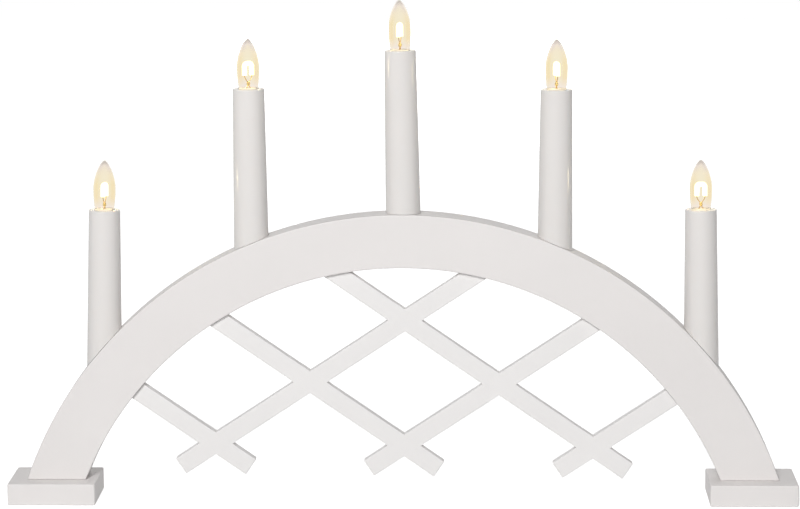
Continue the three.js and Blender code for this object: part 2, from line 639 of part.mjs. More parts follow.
// Points from a holder down one side of its candle into the groove; heading is -1 to the left
function dropIntoGroove(candle, side, heading, radiusOffset) {
  const { group, length, grooveDepth, grooveAngle } = candle;
  const x = (side * WIRE_PAIR_SPREAD) / 2;
  const holderEnd = length + HOLDER_BOTTOM - FIT_GAP;
  const bendStart = WIRE_BEND - grooveDepth;
  const heights = [holderEnd, length / 2, PEG_HEIGHT, (bendStart + PEG_HEIGHT) / 2, bendStart];
  const points = heights.map((height) => new THREE.Vector3(x, 0, height).applyMatrix4(group.matrix));
  const along = (distance) => grooveAngle + heading * degrees(distance / GROOVE_RADIUS);
  points.push(onArch(GROOVE_RADIUS + radiusOffset / 2, along(WIRE_BEND / 2), WIRE_LEVEL / 2));
  points.push(onArch(GROOVE_RADIUS + radiusOffset, along(2 * WIRE_BEND), WIRE_LEVEL));
  return points;
}

// Points along the groove between two angles, ends left out
function alongGroove(fromAngle, toAngle, radiusOffset) {
  const count = Math.max(2, Math.round(Math.abs(toAngle - fromAngle) / WIRE_ARC_STEP));
  const angle = (i) => THREE.MathUtils.lerp(fromAngle, toAngle, i / count);
  const point = (i) => onArch(GROOVE_RADIUS + radiusOffset, angle(i), WIRE_LEVEL);
  return Array.from({ length: count - 1 }, (_, i) => point(i + 1));
}

function makeWire(name, points) {
  const solid = tube(new Route(points), WIRE_DIAMETER / 2, WIRE_SIDES, 2 * (points.length - 1));
  return meshOf(name, solid, "wire");
}

const outerLane = WIRE_SPREAD / 2;
const innerLane = -WIRE_SPREAD / 2;
const glandAngle = grooveStart + degrees((GLAND_LENGTH + FIT_GAP) / GROOVE_RADIUS);
const pocketEnd = degrees(POCKET_HALF_LENGTH / GROOVE_RADIUS);
const gapAngle = degrees(FIT_GAP / GROOVE_RADIUS);
const wireAtGland = (lane) => onArch(GROOVE_RADIUS + lane, glandAngle + gapAngle, WIRE_LEVEL);

for (let i = 0; i < candles.length - 1; i++) {
  const [from, to] = [candles[i], candles[i + 1]];
  const arriving = i === candles.length - 2 ? 1 : -1; // the last candle's pair is crossed over
  const points = [
    ...dropIntoGroove(from, 1, 1, outerLane),
    ...alongGroove(from.grooveAngle + pocketEnd, to.grooveAngle - pocketEnd, outerLane),
    ...dropIntoGroove(to, arriving, -1, outerLane).reverse(),
  ];
  bridge.add(makeWire("wire_link_" + from.number + "_" + to.number, points));
}
const [first, last] = [candles[0], candles.at(-1)];
bridge.add(
  makeWire("wire_supply", [
    wireAtGland(outerLane),
    ...alongGroove(glandAngle, first.grooveAngle - pocketEnd, outerLane),
    ...dropIntoGroove(first, -1, -1, outerLane).reverse(),
  ]),
  makeWire("wire_return", [
    wireAtGland(innerLane),
    ...alongGroove(glandAngle, last.grooveAngle - pocketEnd, innerLane),
    ...dropIntoGroove(last, -1, -1, innerLane).reverse(),
  ]),
);

// Clips across the groove, and the gland where the supply cord leaves the arch

const stops = [glandAngle, ...candles.map((candle) => candle.grooveAngle)];
candles.forEach((candle, index) => {
  const angle = (stops[index] + stops[index + 1]) / 2;
  const half = degrees(CLIP_LENGTH / 2 / GROOVE_RADIUS);
  const front = WIRE_LEVEL + WIRE_DIAMETER / 2 + FIT_GAP;
  const span = [angle - half, angle + half];
  const solid = ringStretch(grooveBand(FIT_GAP), span, [front, front + CLIP_THICKNESS], 2);
  bridge.add(meshOf("wire_clip_" + candle.number, solid, "holderPlastic"));
});

function makeGland() {
  const start = grooveStart + gapAngle;
  const floor = GROOVE_FLOOR + FIT_GAP;
  const body = ringStretch(grooveBand(FIT_GAP), [start, glandAngle], [floor, ARCH_BACK], 2);
  const middle = onArch(GROOVE_RADIUS, (start + glandAngle) / 2);
  const backwards = new THREE.Matrix4().makeRotationX(-Math.PI / 2).setPosition(middle);
  const end = ARCH_BACK + GLAND_COLLAR_HEIGHT;
  const collar = rod(GLAND_COLLAR_DIAMETER / 2, ARCH_BACK + FIT_GAP, end, SMALL_SIDES, backwards);
  const neck = rod(GROOVE_WIDTH / 2 - FIT_GAP, floor + FIT_GAP, end, SMALL_SIDES, backwards);
  const bore = rod(GLAND_BORE / 2, floor + WIRE_DIAMETER, end + CUT_MARGIN, SMALL_SIDES, backwards);
  return meshOf("cord_gland", body.add(neck).add(collar).subtract(bore), "holderPlastic");
}

bridge.add(makeGland());

export default bridge;
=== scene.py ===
"""Looks for a white electric candle bridge: an arch on feet, a slat lattice, and candles with lit lamps."""

import json
import math

import bmesh
import bpy
from mathutils import Matrix, Vector


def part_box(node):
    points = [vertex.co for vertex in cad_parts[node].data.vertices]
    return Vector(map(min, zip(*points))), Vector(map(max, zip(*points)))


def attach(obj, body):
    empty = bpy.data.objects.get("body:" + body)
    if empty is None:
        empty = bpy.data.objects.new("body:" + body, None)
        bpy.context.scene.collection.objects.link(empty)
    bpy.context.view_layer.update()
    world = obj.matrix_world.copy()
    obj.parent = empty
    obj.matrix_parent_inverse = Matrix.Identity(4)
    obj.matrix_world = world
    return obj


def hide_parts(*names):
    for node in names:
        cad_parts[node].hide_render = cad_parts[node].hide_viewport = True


bl_info = {
    "name": "Candle Bridge",
    "version": (1, 0, 0),
    "blender": (4, 5, 0),
    "location": "View3D > Sidebar > Candle Bridge",
    "description": "Builds the painted, moulded and glowing pieces of an electric candle bridge on its frame",
    "category": "Object",
}

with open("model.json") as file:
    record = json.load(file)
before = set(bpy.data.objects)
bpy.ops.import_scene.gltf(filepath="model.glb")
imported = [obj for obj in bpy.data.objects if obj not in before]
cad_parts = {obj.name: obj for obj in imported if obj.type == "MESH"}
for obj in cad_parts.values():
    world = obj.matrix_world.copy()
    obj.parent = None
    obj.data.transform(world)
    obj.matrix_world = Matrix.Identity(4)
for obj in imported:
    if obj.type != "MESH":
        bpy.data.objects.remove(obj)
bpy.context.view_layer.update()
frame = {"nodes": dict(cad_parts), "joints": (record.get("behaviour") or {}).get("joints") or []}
JOINTS = {joint["name"]: joint for joint in frame["joints"]}
CANDLE_COUNT = 5
CANDLES = range(1, CANDLE_COUNT + 1)
SCREWS = range(1, 5)
BRIDGE = "bridge"
FULL_TURN = 2 * math.pi
QUARTER_TURN = math.pi / 2
JOIN_DISTANCE = 0.000002
FLAT_ANGLE = math.radians(0.2)
ON_AXIS = 1e-7
NOISE_LOW, NOISE_HIGH = 0.3, 0.7  # noise mostly keeps between these
HALO_NEAR, HALO_FAR = 0.03, 0.05  # the halo comes in between these distances
HALO_LEVEL = 3.0
FILAMENT_CAST, FILAMENT_GLOSS = 11.0, 2.2  # the filament's light, and its strength in gloss
FINISHES = {}


# User settings


def length(name, description, millimetres):
    """A length setting, given in millimetres."""
    return bpy.props.FloatProperty(
        name=name, description=description, default=millimetres / 1000, unit="LENGTH", precision=5
    )


def angle(name, description, degrees):
    """An angle setting, given in degrees."""
    return bpy.props.FloatProperty(
        name=name, description=description, default=math.radians(degrees), subtype="ANGLE"
    )


def tint(name, description, colour):
    """A colour setting, in linear light."""
    return bpy.props.FloatVectorProperty(
        name=name, description=description, default=colour, subtype="COLOR", size=3, min=0, max=1
    )


def level(name, description, value):
    """A plain number setting."""
    return bpy.props.FloatProperty(name=name, description=description, default=value, min=0)


class BridgeSizes(bpy.types.PropertyGroup):
    """Sizes of the bridge's pieces."""

    arch_radius: length("Arch radius", "Outer radius of the arch", 263)
    arch_band: length("Arch band", "Height of the arch board at its crown", 35.3)
    arch_inner_rise: length("Inner rise", "How far the inner curve's centre lies above the outer's", 1.8)
    arch_thickness: length("Arch thickness", "Thickness of the arch board", 23.5)
    arch_drop: length("Arch centre drop", "How far the arch's centre lies below the table", 71.4)
    leg_round: length("Leg round", "Round of a leg's end where it stands on its foot", 0.8)
    foot_height: length("Foot height", "Height of a foot block", 14.5)
    slat_width: length("Slat width", "Width of a lattice slat", 12.3)
    slat_thickness: length("Slat thickness", "Thickness of a lattice slat", 8)
    slat_round: length("Slat round", "Round of a slat's painted edges", 0.6)
    slat_setback: length("Slat setback", "From the arch's front face to the fronts of the slats", 3.6)
    slat_tail: length("Slat tail", "Free end of a slat past its lowest crossing", 28)
    slat_tenon: length("Slat tenon", "Length of a slat inside the arch", 9)
    slat_angle: angle("Slat angle", "Angle of a slat to the table", 34)
    lattice_drop: length("Lattice drop", "From the arch's underside to the top crossing", 35.3)
    lattice_rise: length("Lattice rise", "From the top of the feet to the lowest crossings", 22.5)
    lattice_shift: length("Lattice shift", "How far the lattice sits right of the arch's middle", 1.7)
    lattice_tilt: angle("Lattice tilt", "Turn of the whole lattice, right side down", 0.6)
    tube_inset: length("Tube inset", "How far a tube's foot lies inside the arch's thickness", 0.3)
    tube_top: length("Tube top", "Diameter of a candle tube at its rim", 20.7)
    tube_wall: length("Tube wall", "Wall of a candle tube", 1.6)
    tube_round: length("Tube rim round", "Round of a candle tube's rim", 0.6)
    tube_gap: length("Tube gap", "Gap between a tube's foot and the arch", 0.12)
    mouth_depth: length("Mouth depth", "From a tube's rim to the lamp holder", 4)
    mouth_gap: length("Mouth gap", "Gap round the lamp at the rim", 0.08)
    holder_diameter: length("Holder diameter", "Outside of a lamp holder", 15.6)
    holder_length: length("Holder length", "Height of a lamp holder", 18)
    holder_cup: length("Holder cup", "Depth of the lamp holder's cup", 10.2)
    fit_gap: length("Fit gap", "Gap between a piece and its seat", 0.3)
    shell_wall: length("Shell wall", "Wall of the threaded shell", 0.75)
    cap_diameter: length("Cap diameter", "Thread diameter of a lamp cap", 9.5)
    cap_length: length("Cap length", "Height of a lamp cap", 8.6)
    cap_pitch: length("Cap pitch", "Thread pitch of a lamp cap", 1.814)
    glass_diameter: length("Glass diameter", "Lamp glass at its widest", 15)
    glass_rim: length("Glass at rim", "Lamp glass where it leaves the candle", 13.2)
    glass_height: length("Glass height", "Lamp glass above the rim", 32.8)
    glass_belly: length("Belly height", "Widest part of the glass above the rim", 13.8)
    glass_tip_drop: length("Tip drop", "From the glass's tip down to where its flank turns in", 0.8)
    glass_wall: length("Glass wall", "Thickness of the lamp glass", 0.35)
    filament_diameter: length("Filament diameter", "Thickness of the glowing filament", 3.1)
    filament_spread: length("Filament spread", "Between the filament's two legs", 5.4)
    filament_bottom: length("Filament bottom", "Lower end of the filament above the rim", 8.8)
    filament_top: length("Filament top", "Top of the filament above the rim", 18.0)
    filament_bend: length("Filament bend", "Radius of the filament's two corners", 1.7)
    bead_height: length("Bead height", "Middle of the lead bead above the rim", 3.3)
    bead_length: length("Bead length", "Length of the lead bead", 3.2)
    bead_diameter: length("Bead diameter", "Thickness of the lead bead", 2.3)
    lead_diameter: length("Lead diameter", "Thickness of a filament lead", 0.55)
    lead_spread: length("Lead spread", "Between the leads at the lamp's neck", 3.2)


class BridgeColours(bpy.types.PropertyGroup):
    """Colours of the bridge's finishes."""

    paint: tint("Paint", "Satin paint on the wood", (0.79, 0.762, 0.75))
    lattice: tint("Lattice paint", "Satin paint on the slats", (0.832, 0.815, 0.806))
    plastic: tint("Candle plastic", "Moulded candle tubes", (0.775, 0.748, 0.728))
    moulding: tint("Holder plastic", "Moulded holders, pegs and clips", (0.78, 0.73, 0.64))
    brass: tint("Brass", "Threaded shells and leads", (0.72, 0.5, 0.2))
    nickel: tint("Nickel", "Plated lamp caps", (0.62, 0.59, 0.53))
    zinc: tint("Zinc", "Plated screws", (0.55, 0.56, 0.57))
    insulation: tint("Insulation", "Wire insulation", (0.82, 0.81, 0.78))
    glow: tint("Glow", "Light of the filament", (1.0, 0.87, 0.56))


class BridgeStage(bpy.types.PropertyGroup):
    """Camera and light."""

    lens: level("Lens", "Focal length in millimetres", 139.5)
    camera_place: bpy.props.FloatVectorProperty(
        name="Camera place", description="Where the camera stands", default=(0.0537, -2.0076, 0.4914),
        subtype="TRANSLATION", size=3, precision=5,
    )
    camera_yaw: angle("Camera yaw", "Turn of the camera to the left", 1.565)
    camera_pitch: angle("Camera pitch", "Downward tilt of the camera", 9.268)
    camera_roll: angle("Camera roll", "Roll of the camera", -0.253)
    key_power: level("Key power", "Power of the soft key light", 89)
    fill_power: level("Fill power", "Power of the soft light behind", 44)
    sky_level: level("Sky level", "Strength of the light from all round", 0.23)
    floor_lift: level("Floor lift", "White that the floor adds for the camera", 0.77)
    floor_glow: level("Floor glow", "White of the floor in gloss and through glass", 0.9)


def sizes():
    return bpy.context.scene.bridge_sizes


def colours():
    return bpy.context.scene.bridge_colours


# Node sheets


class Sheet:
    """A material's nodes, built round its main shader."""

    def __init__(self, name):
        self.material = bpy.data.materials.new(name)
        self.material.use_nodes = True
        self.tree = self.material.node_tree
        self.shader = self.tree.nodes["Principled BSDF"]
        self.output = self.tree.nodes["Material Output"]
        self.coordinates = self.tree.nodes.new("ShaderNodeTexCoord")

    def add(self, kind, values=None, **settings):
        node = self.tree.nodes.new(kind)
        for key, value in settings.items():
            setattr(node, key, value)
        for key, value in (values or {}).items():
            node.inputs[key].default_value = value
        return node

    def link(self, source, target):
        self.tree.links.new(source, target)

    def set(self, **values):
        for key, value in values.items():
            self.shader.inputs[key.replace("_", " ")].default_value = value

    def feed(self, **sources):
        """Links sources to the main shader's sockets."""
        for key, source in sources.items():
            self.link(source, self.shader.inputs[key.replace("_", " ")])

    def noise(self, scale, detail=2.0, stretch=(1, 1, 1)):
        """Noise in the piece's own space, with a scale in marks per metre."""
        mapping = self.add("ShaderNodeMapping", {"Scale": stretch})
        self.link(self.coordinates.outputs["Object"], mapping.inputs["Vector"])
        noise = self.add("ShaderNodeTexNoise", {"Scale": scale, "Detail": detail})
        self.link(mapping.outputs["Vector"], noise.inputs["Vector"])
        return noise.outputs["Fac"]

    def ramp(self, factor, stops):
        """Colours by a factor, with stops of place and colour."""
        node = self.add("ShaderNodeValToRGB")
        elements = node.color_ramp.elements
        while len(elements) < len(stops):
            elements.new(0.5)
        for element, (place, colour) in zip(elements, stops):
            element.position = place
            element.color = (*colour, 1)
        self.link(factor, node.inputs["Fac"])
        return node.outputs["Color"]

    def tones(self, factor, low, high):
        """Colours between two, over a noise's range."""
        return self.ramp(factor, [(NOISE_LOW, low), (NOISE_HIGH, high)])

    def spread(self, factor, low, high):
        """Values between two, over a noise's range."""
        values = {"From Min": NOISE_LOW, "From Max": NOISE_HIGH, "To Min": low, "To Max": high}
        node = self.add("ShaderNodeMapRange", values)
        self.link(factor, node.inputs["Value"])
        return node.outputs["Result"]

    def height(self):
        """The piece's height from 0 at its foot to 1 at its top."""
        split = self.add("ShaderNodeSeparateXYZ")
        self.link(self.coordinates.outputs["Generated"], split.inputs["Vector"])
        return split.outputs["Z"]

    def bump(self, height, distance, normal=None):
        node = self.add("ShaderNodeBump", {"Strength": 1.0, "Distance": distance})
        self.link(height, node.inputs["Height"])
        if normal is not None:
            self.link(normal, node.inputs["Normal"])
        return node.outputs["Normal"]


def seen_directly(tree, camera_level, other_level):
    """A level for rays that show a thing as it is: to the camera, off gloss or through glass."""
    path = tree.nodes.new("ShaderNodeLightPath")
    total = None
    for name, share in (
        ("Is Camera Ray", camera_level), ("Is Glossy Ray", other_level), ("Is Transmission Ray", other_level)
    ):
        part = tree.nodes.new("ShaderNodeMath")
        part.operation = "MULTIPLY"
        tree.links.new(path.outputs[name], part.inputs[0])
        part.inputs[1].default_value = share
        if total is None:
            total = part.outputs["Value"]
            continue
        most = tree.nodes.new("ShaderNodeMath")
        most.operation = "MAXIMUM"
        tree.links.new(total, most.inputs[0])
        tree.links.new(part.outputs["Value"], most.inputs[1])
        total = most.outputs["Value"]
    return total


def light_level(tree, cast, seen):
    """A strength of light, one as it falls on other things and one as it is seen."""
    strength = tree.nodes.new("ShaderNodeMapRange")
    strength.inputs["To Min"].default_value = cast
    strength.inputs["To Max"].default_value = seen
    tree.links.new(seen_directly(tree, 1.0, 1.0), strength.inputs["Value"])
    return strength.outputs["Result"]


def shade(colour, factor):
    """A colour made a little darker or lighter."""
    return tuple(min(1.0, channel * factor) for channel in colour)


def finish(builder):
    """The finish that a builder makes, made once."""
    if builder not in FINISHES:
        FINISHES[builder] = builder(Sheet(builder.__name__)).material
    return FINISHES[builder]


def satin_paint(sheet):
    return painted(sheet, tuple(colours().paint))


def lattice_paint(sheet):
    return painted(sheet, tuple(colours().lattice))


def painted(sheet, colour):
    """Sprayed satin paint over smooth wood, with faint raised grain and a soft unevenness."""
    tones = sheet.tones(sheet.noise(14, 3), shade(colour, 0.985), shade(colour, 1.012))
    gloss = sheet.spread(sheet.noise(60, 3), 0.43, 0.49)
    grain = sheet.bump(sheet.noise(260, 3, (0.12, 1, 1)), 0.00002)
    spray = sheet.bump(sheet.noise(1400, 2), 0.000012, grain)
    sheet.feed(Base_Color=tones, Roughness=gloss, Normal=spray)
    sheet.set(Specular_IOR_Level=0.4)
    return sheet


def glossy_candle(sheet):
    """Glossy moulded plastic, slightly waxy, with faint flow marks down the tube."""
    colour = tuple(colours().plastic)
    flow = sheet.noise(55, 3, (1, 1, 0.08))
    tones = sheet.tones(flow, shade(colour, 0.985), shade(colour, 1.01))
    gloss = sheet.spread(sheet.noise(120, 2), 0.11, 0.15)
    waves = sheet.bump(sheet.noise(150, 1, (1, 1, 0.2)), 0.000003)
    sheet.feed(Base_Color=tones, Roughness=gloss, Normal=waves)
    sheet.set(Specular_IOR_Level=0.45, Subsurface_Weight=0.15, Subsurface_Scale=0.002)
    sheet.set(Subsurface_Radius=(1.0, 0.85, 0.75))
    return sheet


def matte_moulding(sheet):
    """Matte moulded plastic with a fine spark-eroded grain."""
    colour = tuple(colours().moulding)
    tones = sheet.tones(sheet.noise(90, 2), shade(colour, 0.96), shade(colour, 1.02))
    gloss = sheet.spread(sheet.noise(400, 2), 0.45, 0.6)
    grain = sheet.bump(sheet.noise(2500, 1), 0.00002)
    sheet.feed(Base_Color=tones, Roughness=gloss, Normal=grain)
    return sheet


def lamp_cement(sheet):
    """Pale cement that closes a lamp's neck."""
    specks = sheet.noise(900, 2)
    tones = sheet.tones(specks, (0.95, 0.92, 0.84), (0.98, 0.95, 0.89))
    gloss = sheet.spread(specks, 0.7, 0.9)
    sheet.feed(Base_Color=tones, Roughness=gloss, Normal=sheet.bump(specks, 0.00004))
    return sheet


def metal(sheet, colour, roughness, mark_scale):
    """Drawn or plated metal with faint tarnish and fine marks."""
    tones = sheet.tones(sheet.noise(mark_scale, 3), shade(colour, 0.86), shade(colour, 1.06))
    gloss = sheet.spread(sheet.noise(mark_scale * 4, 2), roughness * 0.85, roughness * 1.1)
    marks = sheet.bump(sheet.noise(mark_scale * 9, 2), 0.000008)
    sheet.feed(Base_Color=tones, Roughness=gloss, Normal=marks)
    sheet.set(Metallic=1.0)
    return sheet


def drawn_brass(sheet):
    return metal(sheet, tuple(colours().brass), 0.24, 300)


def nickel_plate(sheet):
    return metal(sheet, tuple(colours().nickel), 0.22, 350)


def zinc_plate(sheet):
    return metal(sheet, tuple(colours().zinc), 0.36, 420)


def soft_insulation(sheet):
    """Soft white insulation with a slight sheen."""
    colour = tuple(colours().insulation)
    tones = sheet.tones(sheet.noise(60, 2), shade(colour, 0.96), shade(colour, 1.02))
    gloss = sheet.spread(sheet.noise(300, 2), 0.36, 0.48)
    skin = sheet.bump(sheet.noise(900, 2), 0.00001)
    sheet.feed(Base_Color=tones, Roughness=gloss, Normal=skin)
    return sheet


def clear_lamp_glass(sheet):
    """Clear blown glass with painted glow and shade in its tint: cream by the filament, amber inside its
    edges and darker at its tip.

    In the gloss of pieces further off it shines softly with a painted glow, as a halo that stands in for the
    filament's reflection.
    """
    height = sheet.height()
    # painted glow and shade: cream where the filament lights the glass, darker grey at its tip
    centre = [(0.22, (1.0, 0.95, 0.92)), (0.4, (1.0, 0.95, 0.83)), (0.6, (1.0, 0.955, 0.825))]
    centre += [(0.72, (1.0, 0.955, 0.835)), (0.84, (1.0, 0.95, 0.84)), (1.0, (1.0, 0.945, 0.88))]
    edge = [(0.22, (1.0, 0.95, 0.9)), (0.4, (1.0, 0.915, 0.735)), (0.62, (1.0, 0.92, 0.73))]
    edge += [(0.76, (1.0, 0.935, 0.8)), (0.9, (0.94, 0.89, 0.85)), (1.0, (0.62, 0.59, 0.57))]
    # painted glow and shade: facing away from the view, the glass takes the amber and grey edge tint
    facing = sheet.add("ShaderNodeLayerWeight", {"Blend": 0.5})
    band = [(0.02, (0.0, 0.0, 0.0)), (0.24, (1.0, 1.0, 1.0)), (0.8, (0.55, 0.55, 0.55))]
    painted_glow_and_shade = sheet.add("ShaderNodeMix", data_type="RGBA")
    sheet.link(sheet.ramp(facing.outputs["Facing"], band), painted_glow_and_shade.inputs["Factor"])
    sheet.link(sheet.ramp(height, centre), painted_glow_and_shade.inputs[6])
    sheet.link(sheet.ramp(height, edge), painted_glow_and_shade.inputs[7])
    waves = sheet.bump(sheet.noise(130, 1), 0.000004)
    sheet.feed(Base_Color=painted_glow_and_shade.outputs[2], Normal=waves)
    sheet.set(Transmission_Weight=1.0, IOR=1.2, Roughness=0.0)
    sheet.set(Specular_IOR_Level=0.15, Specular_Tint=(0.0, 0.0, 0.0, 1))
    path = sheet.add("ShaderNodeLightPath").outputs
    clear = sheet.add("ShaderNodeBsdfTransparent", {"Color": (1.0, 0.985, 0.95, 1)})
    surface = sheet.shader.outputs["BSDF"]
    glow = tuple(colours().glow)
    # painted reflection: the glass glows for reflected rays, so other pieces' gloss shows the lamp as a halo
    halo = [(0.34, (0.0, 0.0, 0.0)), (0.44, glow), (0.64, glow), (0.74, (0.0, 0.0, 0.0))]
    shine = sheet.add("ShaderNodeEmission")
    sheet.link(sheet.ramp(height, halo), shine.inputs["Color"])
    reach = {"From Min": HALO_NEAR, "From Max": HALO_FAR, "To Max": HALO_LEVEL}
    far = sheet.add("ShaderNodeMapRange", reach)
    sheet.link(path["Ray Length"], far.inputs["Value"])
    soft = sheet.add("ShaderNodeMapRange", {"To Max": 0.0})
    sheet.link(path["Is Singular Ray"], soft.inputs["Value"])
    sheet.link(far.outputs["Result"], soft.inputs["To Min"])
    sheet.link(soft.outputs["Result"], shine.inputs["Strength"])
    lit = sheet.add("ShaderNodeAddShader")
    sheet.link(clear.outputs["BSDF"], lit.inputs[0])
    sheet.link(shine.outputs["Emission"], lit.inputs[1])
    stand_ins = {"Is Shadow Ray": clear.outputs["BSDF"], "Is Reflection Ray": lit.outputs["Shader"]}
    for ray, shader in stand_ins.items():
        mix = sheet.add("ShaderNodeMixShader")
        sheet.link(path[ray], mix.inputs["Fac"])
        sheet.link(surface, mix.inputs[1])
        sheet.link(shader, mix.inputs[2])
        surface = mix.outputs["Shader"]
    sheet.link(surface, sheet.output.inputs["Surface"])
    return sheet


def glowing_filament(sheet):
    """A coated filament at full glow, a little dimmer where its coat is thin."""
    glow = tuple(colours().glow)
    coat = sheet.noise(700, 2)
    light = sheet.tones(coat, shade(glow, 0.9), glow)
    tones = sheet.tones(coat, shade(glow, 0.8), glow)
    path = sheet.add("ShaderNodeLightPath").outputs
    strength = sheet.add("ShaderNodeMapRange", {"To Min": FILAMENT_CAST, "To Max": FILAMENT_GLOSS})
    sheet.link(path["Is Glossy Ray"], strength.inputs["Value"])
    sheet.feed(Base_Color=tones, Emission_Color=light, Emission_Strength=strength.outputs["Result"])
    sheet.set(Roughness=0.5)
    return sheet


def bead_glass(sheet):
    """The glass bead that holds the leads, in a painted golden glow of the light above it."""
    haze = sheet.noise(500, 2)
    # painted glow: the bead is coloured golden, as the filament's light above makes it look
    tones = sheet.tones(haze, (0.93, 0.74, 0.28), (1.0, 0.88, 0.5))
    sheet.feed(Base_Color=tones, Roughness=sheet.spread(haze, 0.08, 0.2))
    sheet.set(Transmission_Weight=0.5, IOR=1.5)
    return sheet


# Mesh making


def dress(name, mesh, material, body, slot_name, *nodes):
    """Makes a piece of a mesh, on its body, in place of its frame nodes."""
    mesh.name = name
    mesh.materials.clear()
    mesh.materials.append(finish(material))
    piece = bpy.data.objects.new(name, mesh)
    bpy.context.scene.collection.objects.link(piece)
    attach(piece, body)
    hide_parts(*nodes)
    return piece


def smooth(mesh, degrees=32):
    """Smooth shading with crisp edges where faces meet at more than an angle."""
    mesh.polygons.foreach_set("use_smooth", [True] * len(mesh.polygons))
    mesh.set_sharp_from_angle(angle=math.radians(degrees))
    return mesh


def angles(turn, count):
    """Angles from nothing to a turn, in even steps."""
    return [turn * i / count for i in range(count + 1)]


def ring_mesh(rings, closed=False):
    """Joins rings of points, each with as many points or just one, into a closed skin."""
    verts, starts = [], []
    for ring in rings:
        starts.append((len(verts), len(ring)))
        verts.extend(ring)
    faces = []
    pairs = list(zip(starts, starts[1:]))
    if closed:
        pairs.append((starts[-1], starts[0]))
    for (a, count_a), (b, count_b) in pairs:
        count = max(count_a, count_b)
        if count == 1:
            continue
        for i in range(count):
            j = (i + 1) % count
            if count_a == 1:
                faces.append((a, b + j, b + i))
            elif count_b == 1:
                faces.append((a + i, a + j, b))
            else:
                faces.append((a + i, a + j, b + j, b + i))
    mesh = bpy.data.meshes.new("skin")
    mesh.from_pydata(verts, [], faces)
    mesh.update()
    return mesh


def turned(profile, matrix, sides=64, closed=False):
    """Turns a profile of radius and height about a candle's axis."""
    rings = []
    for radius, height in profile:
        if radius < ON_AXIS:
            rings.append([matrix @ Vector((0, 0, height))])
            continue
        rings.append([
            matrix @ Vector((radius * math.cos(t), radius * math.sin(t), height))
            for t in angles(FULL_TURN, sides)[:-1]
        ])
    return smooth(ring_mesh(rings, closed))


def tube_along(points, radius, sides=20):
    """A round tube along points, closed flat at its ends."""
    last = len(points) - 1
    tangents = [
        (points[min(i + 1, last)] - points[max(i - 1, 0)]).normalized() for i in range(len(points))
    ]
    steps = angles(FULL_TURN, sides)[:-1]
    side = tangents[0].orthogonal().normalized()
    rings = [[points[0]]]
    for point, tangent in zip(points, tangents):
        side = (side - tangent * side.dot(tangent)).normalized()
        other = tangent.cross(side)
        rings.append([point + (side * math.cos(t) + other * math.sin(t)) * radius for t in steps])
    rings.append([points[-1]])
    return smooth(ring_mesh(rings), 50)


def joined(mesh):
    """Joins a mesh's near points, and the faces that lie in one plane."""
    work = bmesh.new()
    work.from_mesh(mesh)
    bmesh.ops.remove_doubles(work, verts=work.verts, dist=JOIN_DISTANCE)
    bmesh.ops.dissolve_limit(work, angle_limit=FLAT_ANGLE, verts=work.verts, edges=work.edges)
    work.to_mesh(mesh)
    work.free()
    return mesh


def node_copy(node):
    """A copy of a frame node's mesh, with its flat facets joined and its own shading left off."""
    mesh = joined(frame["nodes"][node].data.copy())
    if "custom_normal" in mesh.attributes:
        mesh.attributes.remove(mesh.attributes["custom_normal"])
    return mesh


def softened(node, degrees=32):
    """A copy of a frame node's mesh, shaded as the smooth faces that its facets stand for."""
    return smooth(node_copy(node), degrees)


def weigh_normals(piece):
    """Lets large flat faces keep their own direction next to small rounded edges."""
    modifier = piece.modifiers.new("flat_faces", "WEIGHTED_NORMAL")
    modifier.keep_sharp = True


def cuboid(low, high, matrix):
    """A box mesh between two corners, placed by a matrix."""
    spans = list(zip(low, high))
    corners = [(x, y, z) for x in spans[0] for y in spans[1] for z in spans[2]]
    faces = [(0, 1, 3, 2), (4, 6, 7, 5), (0, 4, 5, 1), (2, 3, 7, 6), (0, 2, 6, 4), (1, 5, 7, 3)]
    mesh = bpy.data.meshes.new("cuboid")
    mesh.from_pydata([matrix @ Vector(corner) for corner in corners], [], faces)
    mesh.update()
    return mesh


def carved(mesh, cutters):
    """A mesh with others cut out of it."""
    scene = bpy.context.scene
    block = bpy.data.objects.new("block", mesh)
    scene.collection.objects.link(block)
    tools = []
    for cutter in cutters:
        tool = bpy.data.objects.new("tool", cutter)
        scene.collection.objects.link(tool)
        tools.append(tool)
        modifier = block.modifiers.new("cut", "BOOLEAN")
        modifier.operation = "DIFFERENCE"
        modifier.solver = "EXACT"
        modifier.object = tool
    bpy.context.view_layer.update()
    made = bpy.data.meshes.new_from_object(block.evaluated_get(bpy.context.evaluated_depsgraph_get()))
    for thing in [block, *tools]:
        bpy.data.objects.remove(thing)
    return joined(made)


def curve_points(start, *segments, steps=14):
    """Points along straight, quadratic and cubic stretches that follow one another."""
    points = [Vector(start)]
    for segment in segments:
        controls = [points[-1], *[Vector(point) for point in segment]]
        count = 1 if len(controls) == 2 else steps
        for i in range(1, count + 1):
            level_points = controls
            while len(level_points) > 1:
                level_points = [a.lerp(b, i / count) for a, b in zip(level_points, level_points[1:])]
            points.append(level_points[0])
    return points


# Candle frames


def rim_frame(number):
    """The frame at a candle's rim, with +Z up the candle, from its lamp's joint."""
    joint = JOINTS[f"lamp_{number}_turn"]
    up = Vector(joint["axis"]).normalized()
    across = Vector((0, 1, 0)).cross(up).normalized()
    matrix = Matrix((across, Vector((0, 1, 0)), up)).transposed().to_4x4()
    matrix.translation = Vector(joint["pos_m"])
    return matrix


def height_on_circle(point, direction, radius, drop):
    """How far along a direction a point leaves a circle whose centre lies below the table."""
    flat = Vector((point.x, 0, point.z + drop))
    along = flat.dot(direction)
    return -along + math.sqrt(along * along - flat.length_squared + radius * radius)


def candle_length(number):
    """From the arch's outer face to the rim, along a candle's axis."""
    matrix = rim_frame(number)
    up = matrix.col[2].to_3d()
    return -height_on_circle(matrix.translation, up, sizes().arch_radius, sizes().arch_drop)


# Pieces


